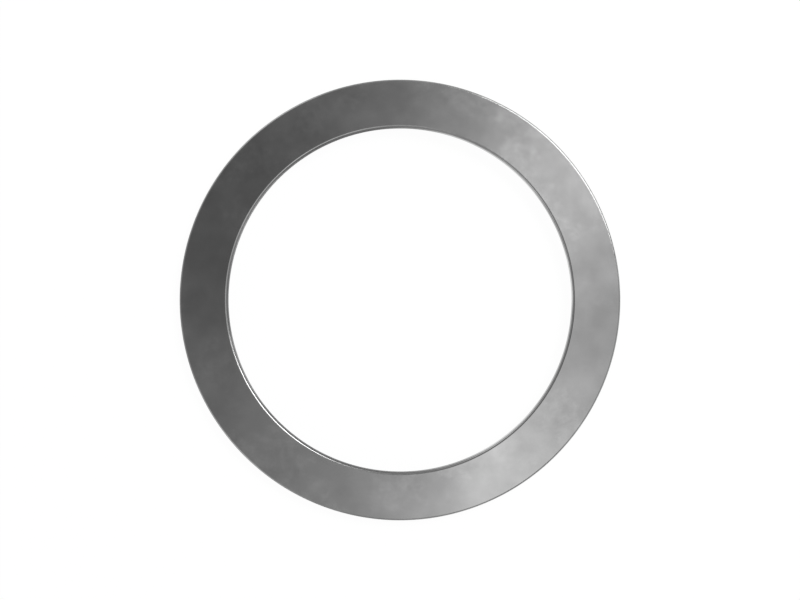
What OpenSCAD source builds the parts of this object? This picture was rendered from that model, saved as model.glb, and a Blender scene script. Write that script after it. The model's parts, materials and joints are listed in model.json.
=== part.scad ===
// Disc spring: one ring of spring steel, stamped and pressed into a shallow cone.
// It stands on the low edge of its rim, with the edge of the bore raised.
// The rim and the bore are turned parallel to the axis, and all four edges are rounded.
// Pressed flat, it pushes back along its axis.

/* [Ring] */
// Outside diameter, over the turned rim (mm)
outer_d = 109; // [100:0.5:140]
// Diameter of the bore (mm)
bore_d = 85; // [50:0.5:94]
// Thickness of the steel, square to the conical faces (mm)
thickness = 2.75; // [1:0.05:4]

/* [Cone] */
// Height of the cone with no load, which is the most the spring can be pressed (mm)
cone_height = 1.25; // [0.4:0.05:3]

/* [Edges] */
// Radius of the rounding on all four edges (mm)
edge_r = 0.55; // [0.2:0.05:0.9]

/* [Hidden] */

rim_r = outer_d / 2;
bore_r = bore_d / 2;

// Height with no load, from the low edge of the rim to the high edge of the bore
free_height = thickness + cone_height;

// The rounding leaves a straight wall of at least a tenth of the thickness at rim and bore
round_r = min(edge_r, 0.45 * thickness);

// Each rounding stands this little proud of the conical face beside it, so that
// the two cross in a clean edge and don't fade into each other (mm)
proud = 0.001;

// Angle of the conical faces: the one at which the rounded section is exactly
// as high as free_height and as thick, square to its faces, as thickness
run = rim_r - bore_r - 2 * round_r;
rise = free_height - 2 * round_r;
depth = thickness - 2 * (round_r - proud);
slope = acos(depth / sqrt(run * run + rise * rise)) - atan2(run, rise);

// Centres of the four edge roundings in the half section, as [radius, height]
wall = depth / cos(slope);
rim_low = [rim_r - round_r, round_r];
rim_high = rim_low + [0, wall];
bore_low = [bore_r + round_r, round_r + run * tan(slope)];
bore_high = bore_low + [0, wall];

// From a rounding's centre square to the upper face, and out to the turned wall
to_face = (round_r - proud) * [sin(slope), cos(slope)];
to_wall = [round_r, 0];

// Half section: the four straight sides, and a round at each corner
module half_section() {
    polygon([
        bore_high + to_face, bore_high - to_wall,
        bore_low - to_wall, bore_low - to_face,
        rim_low - to_face, rim_low + to_wall,
        rim_high + to_wall, rim_high + to_face
    ]);
    for (centre = [bore_high, bore_low, rim_low, rim_high])
        translate(centre) circle(r = round_r, $fn = 48);
}

// The whole spring: the half section turned once round the axis
module disc_spring() {
    color([0.50, 0.50, 0.50]) rotate_extrude($fn = 240) half_section();
}

disc_spring();
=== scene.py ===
"""A disc spring of satin spring steel on a pale floor, seen from straight above."""

import json
import math

import bpy
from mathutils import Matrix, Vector


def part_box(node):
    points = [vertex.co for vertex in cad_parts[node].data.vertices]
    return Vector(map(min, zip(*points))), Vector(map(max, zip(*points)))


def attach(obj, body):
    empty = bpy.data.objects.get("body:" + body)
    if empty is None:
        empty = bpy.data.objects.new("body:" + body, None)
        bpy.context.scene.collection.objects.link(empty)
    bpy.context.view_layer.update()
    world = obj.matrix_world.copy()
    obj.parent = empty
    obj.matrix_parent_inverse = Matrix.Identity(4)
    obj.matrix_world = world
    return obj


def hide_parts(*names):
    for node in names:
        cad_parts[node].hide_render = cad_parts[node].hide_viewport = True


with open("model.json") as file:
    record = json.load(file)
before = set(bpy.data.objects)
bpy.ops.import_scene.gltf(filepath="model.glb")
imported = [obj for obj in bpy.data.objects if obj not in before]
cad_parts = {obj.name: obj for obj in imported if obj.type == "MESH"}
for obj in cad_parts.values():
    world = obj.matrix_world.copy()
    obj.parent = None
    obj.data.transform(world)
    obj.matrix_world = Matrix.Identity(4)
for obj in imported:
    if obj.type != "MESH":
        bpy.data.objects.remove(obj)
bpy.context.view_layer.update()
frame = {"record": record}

# Sizes of the ring, in metres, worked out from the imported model
MM = 0.001
MOUNTS = {mount["name"]: mount for mount in frame["record"]["mounts"]}
BORE_R = MOUNTS["bore"]["dims"]["r_mm"] * MM
RIM_R = MOUNTS["rim"]["dims"]["r_mm"] * MM
WALL = MOUNTS["rim"]["dims"]["length_mm"] * MM
ROUND_R = RIM_R - MOUNTS["rim_edge"]["dims"]["r_mm"] * MM
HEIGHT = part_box("disc_spring")[1].z

# Centres of the four edge roundings, as (radius, height), and the cone's angle
RIM_LOW = (RIM_R - ROUND_R, ROUND_R)
RIM_HIGH = (RIM_R - ROUND_R, ROUND_R + WALL)
BORE_HIGH = (BORE_R + ROUND_R, HEIGHT - ROUND_R)
BORE_LOW = (BORE_R + ROUND_R, HEIGHT - ROUND_R - WALL)
SLOPE = math.atan2(BORE_LOW[1] - RIM_LOW[1], RIM_LOW[0] - BORE_LOW[0])

# Fineness of the ring's mesh
AROUND = 720
ARC_STEPS = 10
FACE_STEPS = 20
WALL_STEPS = 3

# The camera: a 50 mm lens straight above, for a picture of this width in pixels
IMAGE_W = 800
SENSOR = 36.0
LENS = 50.0
CLIP_NEAR = 0.01
CLIP_FAR = 50

# Its height gives the ring the radius that the photograph shows, in pixels. The line of sight
# touches the rim on its upper rounding, these shares of ROUND_R inside the rim and above the
# rounding's centre
RIM_PX = 220.3
TOUCH_IN = 0.02
TOUCH_UP = 0.2
OUTLINE_R = RIM_R - TOUCH_IN * ROUND_R
OUTLINE_Z = RIM_HIGH[1] + TOUCH_UP * ROUND_R
CAMERA_Z = OUTLINE_Z + OUTLINE_R * (IMAGE_W * LENS / SENSOR) / RIM_PX

# The steel: how much light its faces, roundings and turned walls send back, how much all of
# them do at a grazing angle, how rough the faces and the turned places are, and by how much
# that varies
STEEL = 0.5
# The roundings' low tone is painted shade: it darkens their steep parts and what they reflect
SHADED_EDGE_STEEL = 0.18
WALL_STEEL = 0.42
GRAZING = 0.9
ROUGHNESS = 0.20
TURNED_ROUGHNESS = 0.25
SMEARS = 0.02

# Where each finish lies, by how level the surface is, from 0 on a wall to 1 on a flat: the walls'
# finish fades out and the faces' fades in between these. Below the faces' range the roundings take a
# darker tone, which is painted shade
WALL_FADE = (0.15, 0.35)
FACE_FADE = (0.4, 0.85)

# Its mottling, as shares of the tone: how far the clouds go either way, and what the faintest
# scuffs take from the worn places and the strongest add. Its noise is moved this far, in metres
CLOUDS = 0.11
SCUFFS = (-0.02, 0.14)
MOTTLE_MOVE = (-0.336, 0.166, 0)

# Duller and brighter patches along the turned walls and roundings, as factors of their tone.
# Their noise is moved this far, in metres
PATCHES = (0.67, 1.29)
PATCH_MOVE = (-0.29, -0.624, 0)

# Depth of its waves, grain and turning marks. The marks' noise is drawn out level, so that
# they run round the ring
WAVE_DEPTH = 0.006 * MM
GRAIN_DEPTH = 0.0006 * MM
MARK_DEPTH = 0.0015 * MM
DRAWN_OUT = (0.02, 0.02, 1)

# The noises: cells to the metre, finer layers, and how strong each is beside the one before
CLOUD_NOISE = (110.0, 4.0, 0.5)
WORN_NOISE = (60.0, 5.0, 0.6)
SCUFF_NOISE = (330.0, 4.0, 0.6)
PATCH_NOISE = (40.0, 1.0, 0.5)
SMEAR_NOISE = (260.0, 4.0, 0.55)
WAVE_NOISE = (140.0, 2.0, 0.5)
GRAIN_NOISE = (2500.0, 2.0, 0.5)
MARK_NOISE = (6000.0, 2.0, 0.5)

# The part of each noise's range that is used, and outside it the noise has no more effect
CLOUD_RANGE = (0.3, 0.7)
WORN_RANGE = (0.49, 0.57)
SCUFF_RANGE = (0.4, 0.7)
PATCH_RANGE = (0.42, 0.58)
SMEAR_RANGE = (0.3, 0.7)

# The studio: the sky's own level, and the floor's colour and size. What the camera sees of
# the floor is this share of its white, and for the rest its lit tone, which keeps the shadow
SKY = 0.42
FLOOR_COLOUR = 0.8
FLOOR_WHITE = 1.06
FLOOR_SHARE = 0.9
FLOOR_SIZE = 10.0

# In reflections the floor is white on the right of the ring, and between these two places
# it fades to its own lit tone, which is all but this share of what shows on the left
# The white on the right is painted light: a glow laid on the floor by place, seen only in reflections
WHITE_FROM = 25 * MM
LIT_FROM = -8 * MM
LEFT_SHARE = 0.05

# Soft glows in the sky and two shades: azimuth and tilt from straight up, the angle at which
# it has faded to a third, all in degrees, and what its middle adds to the sky's level
GLOWS = [
    (300, 23, 5.5, 0.60),
    (307, 25, 17, 0.51),
    (31, 15, 10, 0.73),
    (125, 80, 15, 1.0),
    (220, 80, 15, 1.0),
    (151, 21, 33, -0.295),
    (303, 65, 22, -0.26),
]

# The key light, an oval soft box: azimuth and tilt in degrees, distance, width and height in
# metres, and radiance
KEY = (42, 43, 1.2, 0.80, 0.44, 5.5)


def outline():
    """The half section as (radius, height, outward angle), anticlockwise from the rim's wall."""
    upper_face = math.pi / 2 - SLOPE
    corners = [
        (RIM_HIGH, 0, upper_face, FACE_STEPS),
        (BORE_HIGH, upper_face, math.pi, WALL_STEPS),
        (BORE_LOW, math.pi, math.pi + upper_face, FACE_STEPS),
        (RIM_LOW, math.pi + upper_face, 2 * math.pi, WALL_STEPS),
    ]
    points = []
    for index, (centre, start, end, straight_steps) in enumerate(corners):
        for step in range(ARC_STEPS + 1):
            angle = start + (end - start) * step / ARC_STEPS
            points.append(on_round(centre, angle))
        following = corners[(index + 1) % len(corners)][0]
        first, last = on_round(centre, end), on_round(following, end)
        for step in range(1, straight_steps):
            share = step / straight_steps
            radius = first[0] + (last[0] - first[0]) * share
            height = first[1] + (last[1] - first[1]) * share
            points.append((radius, height, end))
    return points


def on_round(centre, angle):
    """The point of an edge rounding where the surface faces outward at this angle."""
    radius = centre[0] + ROUND_R * math.cos(angle)
    height = centre[1] + ROUND_R * math.sin(angle)
    return radius, height, angle


def lathe(name, points):
    """A closed ring: the points turned round the Z axis, with the section's own normals."""
    count = len(points)
    places, normals, faces = [], [], []
    for turn in range(AROUND):
        azimuth = 2 * math.pi * turn / AROUND
        across, along = math.cos(azimuth), math.sin(azimuth)
        for radius, height, angle in points:
            places.append((radius * across, radius * along, height))
            flat = math.cos(angle)
            normals.append((flat * across, flat * along, math.sin(angle)))
        here, there = turn * count, (turn + 1) % AROUND * count
        for step in range(count):
            onward = (step + 1) % count
            faces.append((here + step, there + step, there + onward, here + onward))
    mesh = bpy.data.meshes.new(name)
    mesh.from_pydata(places, [], faces)
    mesh.polygons.foreach_set("use_smooth", [True] * len(faces))
    mesh.normals_split_custom_set_from_vertices(normals)
    ring = bpy.data.objects.new(name, mesh)
    bpy.context.collection.objects.link(ring)
    return ring


def add(tree, kind, inputs=(), **settings):
    """A new node. Its inputs are values or other nodes' outputs, by name or number."""
    node = tree.nodes.new(kind)
    for name, value in settings.items():
        setattr(node, name, value)
    for key, value in dict(inputs).items():
        if isinstance(value, bpy.types.NodeSocket):
            tree.links.new(value, node.inputs[key])
        else:
            node.inputs[key].default_value = value
    return node


def maths(tree, operation, first, second=0.0):
    return add(tree, "ShaderNodeMath", {0: first, 1: second}, operation=operation).outputs[0]


def vectors(tree, operation, first, second):
    inputs = {0: first, 1: second}
    return add(tree, "ShaderNodeVectorMath", inputs, operation=operation).outputs


def between(tree, share, first, second):
    """The first value where the share is 0, the second where it is 1."""
    inputs = {0: share, 2: first, 3: second}
    return add(tree, "ShaderNodeMix", inputs, data_type="FLOAT").outputs[0]


def spread(tree, value, low, high, to_low, to_high, smooth=False):
    """The value moved from one range to another and held in it, straight or in a soft step."""
    kind = "SMOOTHSTEP" if smooth else "LINEAR"
    inputs = {"Value": value, "From Min": low, "From Max": high, "To Min": to_low, "To Max": to_high}
    return add(tree, "ShaderNodeMapRange", inputs, interpolation_type=kind).outputs["Result"]


def noise(tree, place, cells, layers, strength):
    inputs = {"Vector": place, "Scale": cells, "Detail": layers, "Roughness": strength}
    return add(tree, "ShaderNodeTexNoise", inputs).outputs["Fac"]


def bump(tree, height, depth, under=None):
    inputs = {"Strength": 1.0, "Distance": depth, "Height": height}
    if under:
        inputs["Normal"] = under
    return add(tree, "ShaderNodeBump", inputs).outputs["Normal"]


def steel():
    """Satin spring steel: cloudy, faintly wavy faces, roundings darkened with painted shade, and a
    darker turned rim and bore.
    """
    material = bpy.data.materials.new("spring_steel")
    material.use_nodes = True
    tree = material.node_tree
    shader = tree.nodes["Principled BSDF"]
    shader.inputs["Metallic"].default_value = 1.0
    shader.inputs["Specular Tint"].default_value = (GRAZING, GRAZING, GRAZING, 1)
    where = add(tree, "ShaderNodeTexCoord")
    place = where.outputs["Object"]
    facing = add(tree, "ShaderNodeSeparateXYZ", {0: where.outputs["Normal"]})
    level = maths(tree, "ABSOLUTE", facing.outputs["Z"])
    on_wall = spread(tree, level, *WALL_FADE, 1.0, 0.0, smooth=True)
    on_face = spread(tree, level, *FACE_FADE, 0.0, 1.0, smooth=True)

    plain = plain_tone(tree, place, on_face, on_wall)
    tone = maths(tree, "MULTIPLY", plain, mottling(tree, place))
    colour = add(tree, "ShaderNodeCombineColor", {"Red": tone, "Green": tone, "Blue": tone})
    tree.links.new(colour.outputs["Color"], shader.inputs["Base Color"])

    smears = spread(tree, noise(tree, place, *SMEAR_NOISE), *SMEAR_RANGE, -SMEARS, SMEARS)
    satin = spread(tree, on_face, 0.0, 1.0, TURNED_ROUGHNESS, ROUGHNESS)
    tree.links.new(maths(tree, "ADD", satin, smears), shader.inputs["Roughness"])

    waves = bump(tree, noise(tree, place, *WAVE_NOISE), WAVE_DEPTH)
    grain = bump(tree, noise(tree, place, *GRAIN_NOISE), GRAIN_DEPTH, waves)
    drawn_out = vectors(tree, "MULTIPLY", place, DRAWN_OUT)["Vector"]
    marks = maths(tree, "MULTIPLY", noise(tree, drawn_out, *MARK_NOISE), on_wall)
    turned = bump(tree, marks, MARK_DEPTH, grain)
    tree.links.new(turned, shader.inputs["Normal"])
    return material


def mottling(tree, place):
    """Clouds all over and scuffs in the worn places, as a factor of the tone."""
    moved = vectors(tree, "ADD", place, MOTTLE_MOVE)["Vector"]
    clouds = spread(tree, noise(tree, moved, *CLOUD_NOISE), *CLOUD_RANGE, 1 - CLOUDS, 1 + CLOUDS)
    worn = spread(tree, noise(tree, moved, *WORN_NOISE), *WORN_RANGE, 0.0, 1.0, smooth=True)
    scuffs = spread(tree, noise(tree, moved, *SCUFF_NOISE), *SCUFF_RANGE, *SCUFFS)
    return maths(tree, "ADD", clouds, maths(tree, "MULTIPLY", worn, scuffs))


def plain_tone(tree, place, on_face, on_wall):
    """The tone of the faces, that of the roundings, darkened as painted shade, and that of the turned
    walls, both with their patches.
    """
    moved = vectors(tree, "ADD", place, PATCH_MOVE)["Vector"]
    patches = spread(tree, noise(tree, moved, *PATCH_NOISE), *PATCH_RANGE, *PATCHES, smooth=True)
    # Painted shade: the roundings take this darker tone where they steepen away from the face
    edge = maths(tree, "MULTIPLY", patches, SHADED_EDGE_STEEL)
    wall = maths(tree, "MULTIPLY", patches, WALL_STEEL)
    return between(tree, on_wall, spread(tree, on_face, 0.0, 1.0, edge, STEEL), wall)


def toward(azimuth, tilt):
    """The direction at this azimuth and this tilt from straight up, in degrees."""
    turn, lean = math.radians(azimuth), math.radians(tilt)
    flat = math.sin(lean)
    return Vector((flat * math.cos(turn), flat * math.sin(turn), math.cos(lean)))


def studio_sky():
    """White where the camera looks past the floor, and for the rest a grey sky with soft glows."""
    world = bpy.data.worlds.new("studio")
    bpy.context.scene.world = world
    world.use_nodes = True
    tree = world.node_tree
    direction = add(tree, "ShaderNodeTexCoord").outputs["Generated"]
    level = SKY
    for azimuth, tilt, width, extra in GLOWS:
        nearness = vectors(tree, "DOT_PRODUCT", direction, toward(azimuth, tilt))["Value"]
        fall = 1 - math.cos(math.radians(width))
        drop = maths(tree, "DIVIDE", maths(tree, "SUBTRACT", nearness, 1.0), fall)
        share = maths(tree, "EXPONENT", drop)
        level = maths(tree, "ADD", level, maths(tree, "MULTIPLY", share, extra))
    seen = add(tree, "ShaderNodeLightPath").outputs["Is Camera Ray"]
    shown = between(tree, seen, level, 1.0)
    tree.links.new(shown, tree.nodes["Background"].inputs["Color"])


def soft_box(name, azimuth, tilt, distance, width, height, radiance):
    """An oval soft light that faces the ring."""
    data = bpy.data.lights.new(name, "AREA")
    data.shape = "ELLIPSE"
    data.size = width
    data.size_y = height
    data.energy = radiance * math.pi * (math.pi / 4 * width * height)
    box = bpy.data.objects.new(name, data)
    direction = toward(azimuth, tilt)
    box.location = direction * distance
    box.rotation_euler = direction.to_track_quat("Z", "Y").to_euler()
    box.visible_camera = False
    bpy.context.collection.objects.link(box)


def floor():
    """A pale floor, white to the camera and on the right in reflections, which keeps the shadow."""
    half = FLOOR_SIZE / 2
    mesh = bpy.data.meshes.new("floor")
    corners = [(-half, -half, 0), (half, -half, 0), (half, half, 0), (-half, half, 0)]
    mesh.from_pydata(corners, [], [(0, 1, 2, 3)])
    plane = bpy.data.objects.new("floor", mesh)
    bpy.context.collection.objects.link(plane)
    material = bpy.data.materials.new("floor")
    material.use_nodes = True
    tree = material.node_tree
    tree.nodes.remove(tree.nodes["Principled BSDF"])
    pale = add(tree, "ShaderNodeBsdfDiffuse", {"Color": (FLOOR_COLOUR, FLOOR_COLOUR, FLOOR_COLOUR, 1)})
    white = add(tree, "ShaderNodeEmission", {"Strength": FLOOR_WHITE})
    where = add(tree, "ShaderNodeTexCoord").outputs["Object"]
    across = add(tree, "ShaderNodeSeparateXYZ", {0: where}).outputs["X"]
    # Painted light: the floor's white in reflections fades by place from the right to the left
    faded = spread(tree, across, LIT_FROM, WHITE_FROM, LEFT_SHARE, 1.0, smooth=True)
    path = add(tree, "ShaderNodeLightPath").outputs
    mirrored = maths(tree, "MAXIMUM", path["Is Glossy Ray"], path["Is Transmission Ray"])
    reflected = maths(tree, "MULTIPLY", mirrored, faded)
    share = between(tree, path["Is Camera Ray"], reflected, FLOOR_SHARE)
    mixed = add(tree, "ShaderNodeMixShader", {0: share, 1: pale.outputs[0], 2: white.outputs[0]})
    tree.links.new(mixed.outputs[0], tree.nodes["Material Output"].inputs["Surface"])
    mesh.materials.append(material)


def camera():
    data = bpy.data.cameras.new("camera")
    data.lens = LENS
    data.sensor_width = SENSOR
    data.clip_start = CLIP_NEAR
    data.clip_end = CLIP_FAR
    eye = bpy.data.objects.new("camera", data)
    eye.location = (0, 0, CAMERA_Z)
    bpy.context.collection.objects.link(eye)
    bpy.context.scene.camera = eye


camera()
ring = lathe("ring", outline())
ring.data.materials.append(steel())
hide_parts("disc_spring")
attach(ring, "root")

floor()
studio_sky()
soft_box("key", *KEY)
bpy.context.scene.view_settings.view_transform = "Standard"
